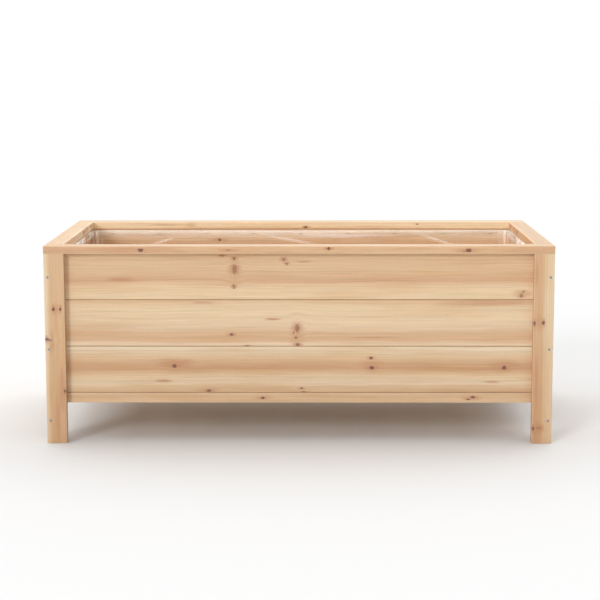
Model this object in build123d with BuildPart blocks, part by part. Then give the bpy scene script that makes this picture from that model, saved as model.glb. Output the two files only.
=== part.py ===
from build123d import *
import os

# A raised timber planter on four legs. X runs along its length, the front is at -Y and Z is up.
# The origin is on the ground under the middle of the box. All sizes are in millimetres.

# ---- driving dimensions
LENGTH = 1180.0  # over the legs, seen from the front
DEPTH = 610.0  # over the legs, seen from the side
HEIGHT = 465.0  # ground to the top of the rim
BOARD = 18.0  # thickness of every planed board
RIM_WIDTH = 42.0
LEG_WIDTH = 47.0
COVER = 110.0  # height that one tongued board covers
ROWS = ("bottom", "middle", "top")
RAIL_HEIGHT = 23.0
RAIL_DEPTH = 40.0  # the inner part of it is the ledge that the floor lies on

TONGUE_THICK = 6.0
TONGUE_HEIGHT = 6.0
TONGUE_PLAY = 0.3  # room between a tongue and its groove
JOINT_CHAMFER = 1.3  # the small V that shows between two boards
EASED = 1.5  # rounding of the edges that hands meet
EASED_FINE = 0.8  # rounding of the hidden and lower edges

SLATS = 11
SLAT_PITCH = 100.0
SLAT_WIDTH = 92.0
SLAT_THICK = 12.0

FILM = 1.0  # stand-in thickness of the liner, which is far thinner
FILM_PLAY = 0.2
FILM_DROP = 7.0  # liner's top edge below the rim

# ---- fasteners
HOLE_PLAY = 0.05
SCREW_SINK = 0.15  # heads sit just under the surface
HEAD_LAND = 0.2  # straight rim of a countersunk head
SCREW_POINT = 4.0
LEG_SCREW = (40.0, 3.0, 5.8)  # length, shank diameter, head diameter
PANEL_SCREW = (30.0, 3.5, 7.0)
RAIL_SCREW = (50.0, 4.0, 8.0)
FLOOR_SCREW = (25.0, 3.0, 5.8)
LEG_SCREW_HEIGHTS = (54.0, 223.0, 392.0)
PANEL_SCREW_OFFSETS = (28.0, 82.0)  # above the lower edge of a board
RAIL_SCREW_PLACES = {"long": (-480, -240, 0, 240, 480), "short": (-200, 0, 200)}
FLOOR_SCREW_SPREAD = 30.0  # either side of a slat's middle

DOWEL = (30.0, 8.0)  # length, diameter
DOWEL_IN_RIM = 12.0
DOWEL_END_ROOM = 0.5
DOWEL_CHAMFER = 0.8
CORNER_DOWEL = (40.0, 6.0)
DOWEL_PLACES = {"long": (-300, 0, 300), "short": (-120, 120)}
LEG_DOWEL_PAST_JOINT = 11.0  # the return board's dowel, from the end of the short rim board
CORNER_DOWEL_INSET = 27.0  # from the end of the long rim board

STAPLE_CROWN = 10.0
STAPLE_WIRE = 0.7
STAPLE_BITE = 6.0  # how far its legs go into the board
STAPLE_DROP = 13.0  # below the rim
STAPLE_PLACES = {"long": range(-500, 501, 125), "short": range(-180, 181, 120)}

# ---- worked out from those
RIM_BASE = HEIGHT - BOARD
RAIL_TOP = RIM_BASE - len(ROWS) * COVER
RAIL_BASE = RAIL_TOP - RAIL_HEIGHT
FLOOR_TOP = RAIL_TOP + SLAT_THICK
PANEL_FACE = BOARD  # the panels stand behind the leg boards
PANEL_BACK = PANEL_FACE + BOARD
RAIL_BACK = PANEL_FACE + RAIL_DEPTH
LEDGE_MIDDLE = (PANEL_BACK + RAIL_BACK) / 2
PANEL_MIDDLE = (PANEL_FACE + PANEL_BACK) / 2

# Every side is drawn as a person facing it from outside sees it: u runs to the right from the middle,
# w runs inwards from the outer face of the legs, and z is up.
RIGHTWARD = {
    "front": Vector(1, 0, 0),
    "back": Vector(-1, 0, 0),
    "left": Vector(0, -1, 0),
    "right": Vector(0, 1, 0),
}
INWARD = {
    "front": Vector(0, 1, 0),
    "back": Vector(0, -1, 0),
    "left": Vector(1, 0, 0),
    "right": Vector(-1, 0, 0),
}
UP = Vector(0, 0, 1)
PAIR = {"front": "long", "back": "long", "left": "short", "right": "short"}
# corner: the side of its face board and which end, the side of its return board and which end
CORNERS = {
    "front_left": ("front", -1, "left", 1),
    "front_right": ("front", 1, "right", -1),
    "back_left": ("back", 1, "left", -1),
    "back_right": ("back", -1, "right", 1),
}


def by_kind(side, long_value, short_value):
    """One value for the front and back, another for the two ends."""
    return long_value if PAIR[side] == "long" else short_value


def reach(side):
    """From the middle of the planter to the outer face of this side's legs."""
    return by_kind(side, DEPTH, LENGTH) / 2


def leg_end(side):
    """Where this side's leg boards end, in u: the return boards butt behind the face boards."""
    return by_kind(side, LENGTH / 2, DEPTH / 2 - BOARD)


def panel_end(side):
    return by_kind(side, LENGTH / 2 - BOARD, DEPTH / 2 - PANEL_BACK)


def rail_end(side):
    return by_kind(side, LENGTH / 2 - BOARD, DEPTH / 2 - RAIL_BACK)


def rim_end(side):
    return by_kind(side, LENGTH / 2, DEPTH / 2 - RIM_WIDTH)


def lap_middle(side):
    """Middle of the strip where a panel lies against a leg board."""
    return (leg_end(side) - LEG_WIDTH + panel_end(side)) / 2


def place(side, u, w, z):
    return RIGHTWARD[side] * u + INWARD[side] * (w - reach(side)) + UP * z


def facing(side, direction, u, w, z):
    """A plane on a surface that faces in the given direction, for holes and fasteners."""
    return Plane(origin=place(side, u, w, z), x_dir=RIGHTWARD[side], z_dir=direction)


def section(side, end, w, z):
    """The plane to draw a board's section on, at its left end: x runs inwards and y up."""
    return Plane(origin=place(side, -end, w, z), x_dir=INWARD[side], z_dir=RIGHTWARD[side])


def long_edges(piece, side, corners):
    """The edges that run along a side at these (w, z) corners of its section."""
    along = piece.edges().filter_by(Axis((0, 0, 0), RIGHTWARD[side]))
    found = []
    for w, z in corners:
        for edge in along:
            middle = edge.center()
            off = middle.dot(INWARD[side]) + reach(side) - w
            if abs(off) < 0.01 and abs(middle.Z - z) < 0.01:
                found.append(edge)
    return found


# ---- where the fasteners go
def leg_screw_planes(side, end):
    u = end * (LENGTH - BOARD) / 2
    return [facing(side, -INWARD[side], u, 0, z) for z in LEG_SCREW_HEIGHTS]


def panel_screw_planes(side, end, row):
    base = RAIL_TOP + ROWS.index(row) * COVER
    u = end * lap_middle(side)
    return [facing(side, INWARD[side], u, PANEL_BACK, base + up) for up in PANEL_SCREW_OFFSETS]


def rail_leg_plane(side, end):
    u = end * (leg_end(side) - LEG_WIDTH + BOARD / 2)
    return facing(side, INWARD[side], u, RAIL_BACK, RAIL_BASE + RAIL_HEIGHT / 2)


def rail_screw_planes(side):
    places = RAIL_SCREW_PLACES[PAIR[side]]
    return [facing(side, -UP, u, PANEL_MIDDLE, RAIL_BASE) for u in places]


def slat_middle(number):
    return (number - (SLATS - 1) / 2) * SLAT_PITCH


def floor_screw_planes(number):
    middle = slat_middle(number)
    planes = []
    for side in ("front", "back"):
        for x in (middle - FLOOR_SCREW_SPREAD, middle + FLOOR_SCREW_SPREAD):
            planes.append(facing(side, UP, x * RIGHTWARD[side].X, LEDGE_MIDDLE, FLOOR_TOP))
    return planes


def leg_dowel_plane(side, end):
    """On top of a leg board, clear of the butt joint between two rim boards."""
    inset = by_kind(side, LEG_WIDTH / 2, RIM_WIDTH - BOARD + LEG_DOWEL_PAST_JOINT)
    return facing(side, UP, end * (leg_end(side) - inset), BOARD / 2, RIM_BASE)


def panel_dowel_planes(side):
    places = DOWEL_PLACES[PAIR[side]]
    return [facing(side, UP, u, PANEL_MIDDLE, RIM_BASE) for u in places]


def corner_dowel_plane(side, end):
    """On the butt joint of the rim, on the end that the long rim board makes."""
    u = end * (LENGTH / 2 - CORNER_DOWEL_INSET)
    return facing(side, INWARD[side], u, RIM_WIDTH, RIM_BASE + BOARD / 2)


def staple_planes(side):
    places = STAPLE_PLACES[PAIR[side]]
    film_face = PANEL_BACK + FILM_PLAY + FILM
    return [facing(side, INWARD[side], u, film_face, RIM_BASE - STAPLE_DROP) for u in places]


def moved_along(plane, distance):
    """The same axis, starting further along it."""
    return Plane(origin=plane.origin + plane.z_dir * distance, x_dir=plane.x_dir, z_dir=plane.z_dir)


def turned(plane):
    """The same place, facing the other way."""
    return Plane(origin=plane.origin, x_dir=plane.x_dir, z_dir=-plane.z_dir)


def pass_holes(screw, planes, depth):
    """Countersunk clearance holes through a piece of this depth."""
    _, shank, head = screw
    with Locations(*planes):
        CounterSinkHole(
            radius=shank / 2 + HOLE_PLAY,
            counter_sink_radius=head / 2 + HEAD_LAND + SCREW_SINK + HOLE_PLAY,
            depth=depth,
            counter_sink_angle=90,
        )


def pilot_holes(screw, planes, passed):
    """The rest of each screw's hole, in the piece behind the one it passes through."""
    length, shank, _ = screw
    with Locations(*[moved_along(plane, -passed) for plane in planes]):
        Hole(radius=shank / 2 + HOLE_PLAY, depth=length - passed + SCREW_SINK + HOLE_PLAY)


def dowel_holes(dowel, planes, depth):
    with Locations(*planes):
        Hole(radius=dowel[1] / 2 + HOLE_PLAY, depth=depth + DOWEL_END_ROOM)


def staple_slots(planes):
    """Two narrow slots for the legs of each staple."""
    half = (STAPLE_CROWN - STAPLE_WIRE) / 2
    width = STAPLE_WIRE + 2 * HOLE_PLAY
    with Locations(*planes):
        with Locations((-half, 0), (half, 0)):
            Box(
                width,
                width,
                FILM + FILM_PLAY + STAPLE_BITE + HOLE_PLAY,
                align=(Align.CENTER, Align.CENTER, Align.MAX),
                mode=Mode.SUBTRACT,
            )


os.makedirs("parts", exist_ok=True)

# ---- rim: four flat boards, butted and dowelled
for side in RIGHTWARD:
    end = rim_end(side)
    with BuildPart() as rim:
        with BuildSketch(section(side, end, 0, RIM_BASE)):
            Rectangle(RIM_WIDTH, BOARD, align=(Align.MIN, Align.MIN))
        extrude(amount=2 * end)
        upper = long_edges(rim, side, ((0, HEIGHT), (RIM_WIDTH, HEIGHT)))
        if PAIR[side] == "long":
            upper += rim.edges().filter_by(Axis.Y).group_by(Axis.Z)[-1]
        fillet(upper, radius=EASED)
        fillet(long_edges(rim, side, ((0, RIM_BASE), (RIM_WIDTH, RIM_BASE))), radius=EASED_FINE)
        if PAIR[side] == "long":
            butts = [corner_dowel_plane(side, which) for which in (-1, 1)]
        else:
            corners = [corner for corner in CORNERS.values() if corner[2] == side]
            butts = [turned(corner_dowel_plane(corner[0], corner[1])) for corner in corners]
        dowel_holes(CORNER_DOWEL, butts, CORNER_DOWEL[0] / 2)
        below = panel_dowel_planes(side) + [leg_dowel_plane(side, which) for which in (-1, 1)]
        dowel_holes(DOWEL, [turned(plane) for plane in below], DOWEL_IN_RIM)
    rim.part.label = f"rim_{side}"
    export_step(rim.part, f"parts/rim_{side}.step")

# ---- legs: a return board butts behind a face board
for corner, (face_side, face_end, return_side, return_end) in CORNERS.items():
    for kind, side, end in (("face", face_side, face_end), ("return", return_side, return_end)):
        foot = place(side, end * (leg_end(side) - LEG_WIDTH / 2), 0, 0)
        with BuildPart() as leg:
            with BuildSketch(Plane(origin=foot, x_dir=RIGHTWARD[side], z_dir=UP)):
                Rectangle(LEG_WIDTH, BOARD, align=(Align.CENTER, Align.MIN))
            extrude(amount=RIM_BASE)
            upright = leg.edges().filter_by(Axis.Z).sort_by(Axis((0, 0, 0), RIGHTWARD[side] * end))
            if kind == "return":
                eased = upright[:2]  # the end that meets the face board stays square
            else:
                eased = upright[:2] + upright[2:].sort_by(Axis((0, 0, 0), INWARD[side]))[:1]
            fillet(eased, radius=EASED)
            fillet(leg.faces().sort_by(Axis.Z)[0].edges(), radius=EASED_FINE)
            for row in ROWS:
                pilot_holes(PANEL_SCREW, panel_screw_planes(side, end, row), BOARD)
            screws = leg_screw_planes(face_side, face_end)
            if kind == "face":
                pass_holes(LEG_SCREW, screws, BOARD)
                pilot_holes(RAIL_SCREW, [rail_leg_plane(side, end)], RAIL_DEPTH)
            else:
                pilot_holes(LEG_SCREW, screws, BOARD)
            dowel_holes(DOWEL, [leg_dowel_plane(side, end)], DOWEL[0] - DOWEL_IN_RIM)
        leg.part.label = f"leg_{corner}_{kind}"
        export_step(leg.part, f"parts/leg_{corner}_{kind}.step")

# ---- panels: three tongued and grooved boards a side
for side in RIGHTWARD:
    end = panel_end(side)
    for row in ROWS:
        base = RAIL_TOP + ROWS.index(row) * COVER
        with BuildPart() as board:
            with BuildSketch(section(side, end, PANEL_FACE, base)):
                Rectangle(BOARD, COVER, align=(Align.MIN, Align.MIN))
                if row != "top":
                    with Locations((BOARD / 2, COVER)):
                        Rectangle(TONGUE_THICK, TONGUE_HEIGHT, align=(Align.CENTER, Align.MIN))
                if row != "bottom":
                    with Locations((BOARD / 2, 0)):
                        Rectangle(
                            TONGUE_THICK + 2 * TONGUE_PLAY,
                            TONGUE_HEIGHT + TONGUE_PLAY,
                            align=(Align.CENTER, Align.MIN),
                            mode=Mode.SUBTRACT,
                        )
            extrude(amount=2 * end)
            edges_at_joints = [(PANEL_FACE, base)]
            if row != "top":
                edges_at_joints.append((PANEL_FACE, base + COVER))
            chamfer(long_edges(board, side, edges_at_joints), length=JOINT_CHAMFER)
            for which in (-1, 1):
                pass_holes(PANEL_SCREW, panel_screw_planes(side, which, row), BOARD)
            if row == "bottom":
                pilot_holes(RAIL_SCREW, rail_screw_planes(side), RAIL_HEIGHT)
            if row == "top":
                dowel_holes(DOWEL, panel_dowel_planes(side), DOWEL[0] - DOWEL_IN_RIM)
                staple_slots(staple_planes(side))
        board.part.label = f"{side}_board_{row}"
        export_step(board.part, f"parts/{side}_board_{row}.step")

# ---- bottom rails: a strip and a ledge under each panel
for side in RIGHTWARD:
    end = rail_end(side)
    with BuildPart() as rail:
        with BuildSketch(section(side, end, PANEL_FACE, RAIL_BASE)):
            Rectangle(RAIL_DEPTH, RAIL_HEIGHT, align=(Align.MIN, Align.MIN))
        extrude(amount=2 * end)
        chamfer(long_edges(rail, side, [(PANEL_FACE, RAIL_TOP)]), length=JOINT_CHAMFER)
        lower = ((PANEL_FACE, RAIL_BASE), (RAIL_BACK, RAIL_BASE), (RAIL_BACK, RAIL_TOP))
        fillet(long_edges(rail, side, lower), radius=EASED_FINE)
        pass_holes(RAIL_SCREW, rail_screw_planes(side), RAIL_HEIGHT)
        if PAIR[side] == "long":
            pass_holes(RAIL_SCREW, [rail_leg_plane(side, which) for which in (-1, 1)], RAIL_DEPTH)
            for number in range(SLATS):
                on_this_side = [p for p in floor_screw_planes(number) if p.origin.dot(INWARD[side]) < 0]
                pilot_holes(FLOOR_SCREW, on_this_side, SLAT_THICK)
    rail.part.label = f"bottom_rail_{side}"
    export_step(rail.part, f"parts/bottom_rail_{side}.step")

# ---- floor: slats across the depth, with gaps to drain
for number in range(SLATS):
    with BuildPart() as slat:
        with BuildSketch(Plane.XY.offset(RAIL_TOP)):
            with Locations((slat_middle(number), 0)):
                Rectangle(SLAT_WIDTH, DEPTH - 2 * PANEL_BACK)
        extrude(amount=SLAT_THICK)
        fillet(slat.edges().filter_by(Axis.Y), radius=EASED_FINE)
        pass_holes(FLOOR_SCREW, floor_screw_planes(number), SLAT_THICK)
    slat.part.label = f"floor_slat_{number + 1:02d}"
    export_step(slat.part, f"parts/floor_slat_{number + 1:02d}.step")

# ---- liner: an open box of film, stapled under the rim
liner_length = LENGTH - 2 * (PANEL_BACK + FILM_PLAY)
liner_depth = DEPTH - 2 * (PANEL_BACK + FILM_PLAY)
with BuildPart() as liner:
    with BuildSketch(Plane.XY.offset(FLOOR_TOP)):
        Rectangle(liner_length, liner_depth)
    extrude(amount=RIM_BASE - FILM_DROP - FLOOR_TOP)
    with BuildSketch(Plane.XY.offset(FLOOR_TOP + FILM)):
        Rectangle(liner_length - 2 * FILM, liner_depth - 2 * FILM)
    extrude(amount=RIM_BASE - FLOOR_TOP, mode=Mode.SUBTRACT)
    for side in RIGHTWARD:
        staple_slots(staple_planes(side))
liner.part.label = "liner_film"
export_step(liner.part, "parts/liner_film.step")


# ---- screws, dowels and staples
def wood_screw(size):
    """Countersunk screw with a cross recess: its head's top is at the origin, its point below."""
    length, shank, head = size
    head_depth = HEAD_LAND + (head - shank) / 2
    recess = (0.62 * head, 0.16 * head, 0.9 * head_depth)  # length, width and depth of a slot
    with BuildPart() as screw:
        with BuildSketch(Plane.XZ):
            with BuildLine():
                Polyline(
                    (0, 0),
                    (head / 2, 0),
                    (head / 2, -HEAD_LAND),
                    (shank / 2, -head_depth),
                    (shank / 2, SCREW_POINT - length),
                    (0, -length),
                    close=True,
                )
            make_face()
        revolve(axis=Axis.Z)
        with BuildSketch():
            Rectangle(recess[0], recess[1])
            Rectangle(recess[1], recess[0])
        extrude(amount=-recess[2], mode=Mode.SUBTRACT)
    return screw.part


def dowel_pin(size):
    length, across = size
    with BuildPart() as pin:
        Cylinder(across / 2, length, align=(Align.CENTER, Align.CENTER, Align.MIN))
        chamfer(pin.edges().filter_by(GeomType.CIRCLE), length=DOWEL_CHAMFER)
    return pin.part


def staple():
    """A crown that lies on the film, and two legs that go through it into the board."""
    leg_middle = (STAPLE_CROWN - STAPLE_WIRE) / 2
    leg_length = FILM + FILM_PLAY + STAPLE_BITE
    with BuildPart() as wire:
        Box(STAPLE_CROWN, STAPLE_WIRE, STAPLE_WIRE, align=(Align.CENTER, Align.CENTER, Align.MIN))
        with Locations((-leg_middle, 0), (leg_middle, 0)):
            Box(STAPLE_WIRE, STAPLE_WIRE, leg_length, align=(Align.CENTER, Align.CENTER, Align.MAX))
    return wire.part


sunk_at = {
    "leg_screws": (LEG_SCREW, [p for c in CORNERS.values() for p in leg_screw_planes(c[0], c[1])]),
    "panel_screws_long_sides": (
        PANEL_SCREW,
        [p for s in ("front", "back") for e in (-1, 1) for r in ROWS for p in panel_screw_planes(s, e, r)],
    ),
    "panel_screws_short_sides": (
        PANEL_SCREW,
        [p for s in ("left", "right") for e in (-1, 1) for r in ROWS for p in panel_screw_planes(s, e, r)],
    ),
    "rail_screws": (RAIL_SCREW, [p for s in RIGHTWARD for p in rail_screw_planes(s)]),
    "rail_leg_screws": (RAIL_SCREW, [rail_leg_plane(s, e) for s in ("front", "back") for e in (-1, 1)]),
    "floor_screws": (FLOOR_SCREW, [p for number in range(SLATS) for p in floor_screw_planes(number)]),
}
for name, (size, planes) in sunk_at.items():
    pattern = wood_screw(size)
    with BuildPart() as screws:
        with Locations(*[moved_along(plane, -SCREW_SINK) for plane in planes]):
            add(pattern)
    screws.part.label = name
    export_step(screws.part, f"parts/{name}.step")

rim_pins = [p for s in RIGHTWARD for p in panel_dowel_planes(s)]
rim_pins += [leg_dowel_plane(c[0], c[1]) for c in CORNERS.values()]
rim_pins += [leg_dowel_plane(c[2], c[3]) for c in CORNERS.values()]
pin_pattern = dowel_pin(DOWEL)
with BuildPart() as rim_dowels:
    with Locations(*[moved_along(plane, DOWEL_IN_RIM - DOWEL[0]) for plane in rim_pins]):
        add(pin_pattern)
rim_dowels.part.label = "rim_dowels"
export_step(rim_dowels.part, "parts/rim_dowels.step")

corner_pins = [corner_dowel_plane(c[0], c[1]) for c in CORNERS.values()]
corner_pattern = dowel_pin(CORNER_DOWEL)
with BuildPart() as corner_dowels:
    with Locations(*[moved_along(plane, -CORNER_DOWEL[0] / 2) for plane in corner_pins]):
        add(corner_pattern)
corner_dowels.part.label = "rim_corner_dowels"
export_step(corner_dowels.part, "parts/rim_corner_dowels.step")

staple_pattern = staple()
with BuildPart() as staples:
    with Locations(*[plane for side in RIGHTWARD for plane in staple_planes(side)]):
        add(staple_pattern)
staples.part.label = "liner_staples"
export_step(staples.part, "parts/liner_staples.step")
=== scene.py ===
# %% [markdown]
# # A raised planter in planed fir
#
# The planter is thirty-nine boards, a clear film liner and a few handfuls of screws, dowels and staples.
# The boards, screws and dowels come from the frame with their true shapes, so this lesson dresses them: it
# makes one fir timber out of shader nodes, lays it on each board with that board's own bands and knots, and
# then models the one thing that a solid can't be, the thin film that lines the box.

# %% Load the frame
import math
import random

import bpy
import numpy as np
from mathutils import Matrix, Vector, noise


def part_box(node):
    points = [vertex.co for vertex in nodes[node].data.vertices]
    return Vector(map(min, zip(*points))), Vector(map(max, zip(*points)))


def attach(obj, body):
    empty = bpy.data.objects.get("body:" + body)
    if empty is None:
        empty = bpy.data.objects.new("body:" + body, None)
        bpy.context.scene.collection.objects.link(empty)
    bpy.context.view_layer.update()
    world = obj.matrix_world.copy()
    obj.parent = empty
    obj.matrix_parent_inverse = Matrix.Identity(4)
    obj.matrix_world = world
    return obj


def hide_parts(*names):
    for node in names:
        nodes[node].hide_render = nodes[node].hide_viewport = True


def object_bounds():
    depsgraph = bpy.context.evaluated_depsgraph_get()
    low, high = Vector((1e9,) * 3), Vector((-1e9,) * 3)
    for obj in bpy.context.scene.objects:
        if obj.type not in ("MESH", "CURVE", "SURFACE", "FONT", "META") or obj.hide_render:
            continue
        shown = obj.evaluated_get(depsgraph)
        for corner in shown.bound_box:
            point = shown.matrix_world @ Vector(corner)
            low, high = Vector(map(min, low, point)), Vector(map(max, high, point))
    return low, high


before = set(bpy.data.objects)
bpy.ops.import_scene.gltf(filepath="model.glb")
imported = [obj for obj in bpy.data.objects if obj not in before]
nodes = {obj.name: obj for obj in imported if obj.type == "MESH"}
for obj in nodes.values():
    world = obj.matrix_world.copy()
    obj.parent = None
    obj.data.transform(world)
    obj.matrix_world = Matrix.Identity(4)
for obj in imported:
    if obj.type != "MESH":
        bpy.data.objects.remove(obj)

cad_low, cad_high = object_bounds()
length, depth, height = cad_high - cad_low
print(f"planter {length:.3f} x {depth:.3f} x {height:.3f} m, {len(nodes)} nodes")

# %% [markdown]
# ## The camera
#
# The view is from the front at about twice the planter's height, a little right of the middle, with a long
# lens, so the uprights stay upright and the rim is seen as a narrow band. A long lens far away and a short
# one close by can frame the same width, but only the long one keeps the box this square.

# %% Camera
MM = 0.001
camera_data = bpy.data.cameras.new("long_lens")
camera_data.lens = 100
camera_data.sensor_width = 36
camera = bpy.data.objects.new("camera", camera_data)
camera.location = (35.5 * MM, -4119 * MM, 895.4 * MM)
camera.rotation_euler = (math.radians(81.708), math.radians(0.064), math.radians(0.484))
bpy.context.scene.collection.objects.link(camera)
bpy.context.scene.camera = camera
bpy.context.scene.view_settings.view_transform = "Standard"
print("camera", [round(v, 3) for v in camera.location])

# %% [markdown]
# ## Floor, backdrop and lamp
#
# A plain studio: the sky is a white backdrop behind the planter, a bright ceiling above it and a dimmer room
# in front. Wood seen at a low angle mirrors the backdrop a little, which is why the rim looks paler than the
# sides. Big panels would do the same, but a gradient in the world can't get into the picture.

# %% Sky
ROOM, BACKDROP, CEILING = 0.15, 1.02, 0.95
world = bpy.data.worlds.new("studio")
world.use_nodes = True
bpy.context.scene.world = world
world_tree = world.node_tree
looking = world_tree.nodes.new("ShaderNodeTexCoord")
direction = world_tree.nodes.new("ShaderNodeSeparateXYZ")
world_tree.links.new(looking.outputs["Generated"], direction.inputs[0])
total = world_tree.nodes.new("ShaderNodeMath")
for axis, socket, span in (("Y", 0, (-0.25, 0.45, ROOM, BACKDROP)), ("Z", 1, (0.20, 0.85, 0, CEILING))):
    share = world_tree.nodes.new("ShaderNodeMapRange")
    share.interpolation_type = "SMOOTHSTEP"
    for number, entry in zip(span, list(share.inputs)[1:]):
        entry.default_value = number
    world_tree.links.new(direction.outputs[axis], share.inputs["Value"])
    world_tree.links.new(share.outputs["Result"], total.inputs[socket])
world_tree.links.new(total.outputs[0], world_tree.nodes["Background"].inputs["Strength"])
world_tree.nodes["Background"].inputs["Color"].default_value = (1, 1, 1, 1)
print("room", ROOM, "backdrop", BACKDROP, "ceiling", CEILING)

# %% [markdown]
# One broad lamp shines from the front and the left, low enough to lay a thin shadow beside the left leg. A
# small sharp lamp would give that shadow a hard edge.

# %% Lamp
def lamp(name, kind, power, place, aim, **settings):
    """A lamp at a place, turned to face the point it is aimed at."""
    data = bpy.data.lights.new(name, kind)
    data.energy = power
    for setting, value in settings.items():
        setattr(data, setting, value)
    made = bpy.data.objects.new(name, data)
    made.location = place
    made.rotation_euler = (Vector(aim) - Vector(place)).to_track_quat("-Z", "Y").to_euler()
    bpy.context.scene.collection.objects.link(made)


LAMP_POWER, LAMP_SPREAD = 1.27, math.radians(17)
lamp("left_lamp", "SUN", LAMP_POWER, (-1.9, -3.4, 1.75), (0, 0, 0.25), angle=LAMP_SPREAD)
print("lamp power", LAMP_POWER)

# %% [markdown]
# The floor is pale, nearly without shine, and runs out of sight. It belongs to the studio and not to the
# planter.

# %% Floor
FLOOR_WIDTH, FLOOR_GREY = 60, 0.74
bpy.ops.mesh.primitive_plane_add(size=FLOOR_WIDTH, location=(0, 0, 0))
floor = bpy.context.object
floor.name = "studio_floor"
floor_paint = bpy.data.materials.new("pale_floor")
floor_paint.use_nodes = True
floor_shader = floor_paint.node_tree.nodes["Principled BSDF"]
floor_shader.inputs["Base Color"].default_value = (FLOOR_GREY, FLOOR_GREY, FLOOR_GREY, 1)
floor_shader.inputs["Roughness"].default_value = 0.9
floor_shader.inputs["Specular IOR Level"].default_value = 0.1
floor.data.materials.append(floor_paint)
print("floor", FLOOR_WIDTH, "m wide")

# %% [markdown]
# ## Small helpers for shader trees
#
# A timber needs dozens of nodes, and a tree that long is hard to read as separate calls. These few helpers
# say each step in one line: a number or a colour is set on the socket, and a socket is linked to it.

# %% One node a line
def wire(tree, value, socket):
    if isinstance(value, bpy.types.NodeSocket):
        tree.links.new(value, socket)
    else:
        socket.default_value = value


def maths(tree, operation, *values):
    step = tree.nodes.new("ShaderNodeMath")
    step.operation = operation
    for value, socket in zip(values, step.inputs):
        wire(tree, value, socket)
    return step.outputs[0]


def vector(tree, operation, *values):
    step = tree.nodes.new("ShaderNodeVectorMath")
    step.operation = operation
    for value, socket in zip(values, step.inputs):
        wire(tree, value, socket)
    return step.outputs["Value" if operation in ("LENGTH", "DOT_PRODUCT") else "Vector"]


def split(tree, place):
    step = tree.nodes.new("ShaderNodeSeparateXYZ")
    tree.links.new(place, step.inputs[0])
    return step.outputs


def join(tree, *values):
    step = tree.nodes.new("ShaderNodeCombineXYZ")
    for value, socket in zip(values, step.inputs):
        wire(tree, value, socket)
    return step.outputs[0]


# %% [markdown]
# A mask is a number from 0 to 1 at each point, and most of a look is masks: an eased step between two values,
# a mix of two colours, noise stretched like the wood's own features, and a swing about a middle value.

# %% Masks
def smooth_step(tree, value, start, end, low=0.0, high=1.0):
    """Goes from low to high as the value goes from start to end, easing at both ends."""
    step = tree.nodes.new("ShaderNodeMapRange")
    step.interpolation_type = "SMOOTHSTEP"
    for number, socket in zip((value, start, end, low, high), step.inputs):
        wire(tree, number, socket)
    return step.outputs["Result"]


def mingle(tree, share, first, second, kind="MIX"):
    """Mixes two colours. The sockets go by number, because Mix has a set of each kind."""
    step = tree.nodes.new("ShaderNodeMix")
    step.data_type = "RGBA"
    step.blend_type = kind
    for value, number in ((share, 0), (first, 6), (second, 7)):
        wire(tree, value, step.inputs[number])
    return step.outputs[2]


def lumps(tree, place, stretch, detail=2.0, roughness=0.5):
    """Noise whose lumps are as long as stretch says, in millimetres along, across and through the board."""
    step = tree.nodes.new("ShaderNodeTexNoise")
    tree.links.new(vector(tree, "DIVIDE", place, stretch), step.inputs["Vector"])
    step.inputs["Scale"].default_value = 1.0
    step.inputs["Detail"].default_value = detail
    step.inputs["Roughness"].default_value = roughness
    return step.outputs["Fac"]


def around(tree, mask, swing, middle=1.0):
    """Turns a mask of 0 to 1 into a number that swings that much either side of the middle."""
    return maths(tree, "MULTIPLY_ADD", mask, swing * 2, middle - swing)


# %% [markdown]
# What repeats goes into a group, as a function does in code: it is built once and used on every board. The
# last helper turns a paint chart's six-digit code into the linear colour that a shader expects.

# %% Groups and colours
def shader_group(name, inputs, outputs):
    """A node group with these sockets. Gives its tree, what it is given and what it gives."""
    tree = bpy.data.node_groups.new(name, "ShaderNodeTree")
    for label, kind in inputs.items():
        tree.interface.new_socket(label, in_out="INPUT", socket_type=kind)
    for label, kind in outputs.items():
        tree.interface.new_socket(label, in_out="OUTPUT", socket_type=kind)
    return tree, tree.nodes.new("NodeGroupInput").outputs, tree.nodes.new("NodeGroupOutput").inputs


def sockets(kind, *labels):
    return {label: kind for label in labels}


def use_group(tree, group, **values):
    step = tree.nodes.new("ShaderNodeGroup")
    step.node_tree = group
    for label, value in values.items():
        wire(tree, value, step.inputs[label])
    return step.outputs


def colour(code):
    """A linear colour from the usual six-digit code."""
    channels = [int(code[i : i + 2], 16) / 255 for i in (1, 3, 5)]
    return tuple(c / 12.92 if c <= 0.04045 else ((c + 0.055) / 1.055) ** 2.4 for c in channels) + (1.0,)


FLOAT, VECTOR, COLOUR = "NodeSocketFloat", "NodeSocketVector", "NodeSocketColor"

# %% [markdown]
# ## A knot
#
# A knot is the stub of a branch. The trunk's fibres flow round it, it is dark and hard with rings of its own,
# and the wood next to it is reddish with resin. All of it comes from one distance to the knot's middle,
# measured in knot sizes. The flow is a push across the board: near the knot every line is drawn from closer
# to its middle, so the lines bulge round it. Each knot adds to what the ones before it gave, so a board can
# have any number. A picture of a knot could be laid on the board, but it would stop at the surface.

# %% Knot group
knot_tree, given, gives = shader_group(
    "knot",
    sockets(VECTOR, "Place", "Middle", "Size") | sockets(FLOAT, "Dark", "Flow", "Core", "Halo"),
    sockets(FLOAT, "Flow", "Core", "Halo"),
)


def knot_sizes(stretch, raggedness):
    """How far a point is from the knot's middle, in sizes of the knot stretched by that much."""
    size = vector(knot_tree, "MULTIPLY", given["Size"], stretch)
    away = vector(knot_tree, "LENGTH", vector(knot_tree, "DIVIDE", off, size))
    return maths(knot_tree, "MULTIPLY_ADD", ragged, raggedness, away)


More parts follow.
